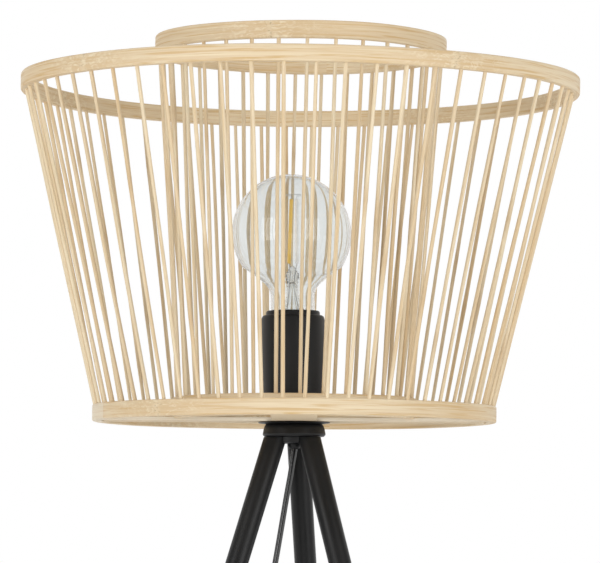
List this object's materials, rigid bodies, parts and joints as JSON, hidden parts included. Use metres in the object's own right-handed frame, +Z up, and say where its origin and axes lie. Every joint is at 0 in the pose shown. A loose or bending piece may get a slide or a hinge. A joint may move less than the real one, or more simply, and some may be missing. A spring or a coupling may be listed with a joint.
{
  "type": "tripod floor lamp",
  "caption": "Floor lamp with a double open cage of bamboo rods around a clear globe bulb, on a slim black metal tripod with a foot switch on its cord.",
  "frame": {"origin": "middle of the floor box of the lamp without its cord, at floor level", "axes": "+Z up; one leg points along +Y and the front, between the other two legs, faces -Y"},
  "size_m": [0.6238, 0.5834, 1.35],
  "materials": {
    "bamboo": "natural bamboo with fine grain, matt clear lacquer",
    "crossbar_wood": "pale bare plywood",
    "black_steel": "fine satin black powder coat",
    "plated_steel": "zinc or nickel plated",
    "black_plastic": "satin moulded black",
    "rubber": "matt black",
    "brass": "plain brass",
    "bulb_glass": "clear thin glass",
    "filament": "amber phosphor coating",
    "cord_cover": "smooth black vinyl, slightly glossy"
  },
  "bodies": {
    "stand": {"outer_top_hoop": "bamboo", "outer_bottom_hoop": "bamboo", "inner_top_hoop": "bamboo", "inner_bottom_hoop": "bamboo", "outer_rods_1": "bamboo", "outer_rods_2": "bamboo", "outer_rods_3": "bamboo", "outer_rods_4": "bamboo", "outer_rods_5": "bamboo", "outer_rods_6": "bamboo", "outer_rods_7": "bamboo", "outer_rods_8": "bamboo", "outer_rods_9": "bamboo", "outer_rods_10": "bamboo", "inner_rods_1": "bamboo", "inner_rods_2": "bamboo", "inner_rods_3": "bamboo", "inner_rods_4": "bamboo", "inner_rods_5": "bamboo", "inner_rods_6": "bamboo", "inner_rods_7": "bamboo", "inner_rods_8": "bamboo", "crossbar_lower": "crossbar_wood", "crossbar_upper": "crossbar_wood", "shade_flange": "black_steel", "leg_head": "black_steel", "hub_core": "black_steel", "upper_leg_back": "black_steel", "upper_leg_left": "black_steel", "upper_leg_right": "black_steel", "lower_leg_back": "black_steel", "lower_leg_left": "black_steel", "lower_leg_right": "black_steel", "threaded_nipple": "plated_steel", "clamp_washer": "plated_steel", "clamp_nut": "plated_steel", "plug_pins": "plated_steel", "leg_insert_back": "plated_steel", "leg_insert_left": "plated_steel", "leg_insert_right": "plated_steel", "lampholder_sleeve": "black_plastic", "lampholder_body": "black_plastic", "cord_outlet": "black_plastic", "switch_base": "black_plastic", "switch_cover": "black_plastic", "plug_body": "black_plastic", "foot_cap_back": "rubber", "foot_cap_left": "rubber", "foot_cap_right": "rubber", "screw_shell": "brass", "centre_contact": "brass", "cord_lead": "cord_cover", "cord_tail": "cord_cover", "cord_coil": "cord_cover"},
    "bulb": {"bulb_globe": "bulb_glass", "bulb_cap": "plated_steel", "bulb_stem": "bulb_glass", "bulb_filament": "filament"},
    "foot_button": {"switch_button": "black_plastic"}
  },
  "joints": [
    {"name": "bulb_lift", "type": "slide", "parent": "stand", "child": "bulb", "axis": [0, 0, 1], "range_m": [0, 0.262]},
    {"name": "button_press", "type": "slide", "parent": "stand", "child": "foot_button", "axis": [0, 0, -1], "range_m": [0, 0.003], "stiffness_N_per_m": 900, "springref_m": -0.002}
  ]
}
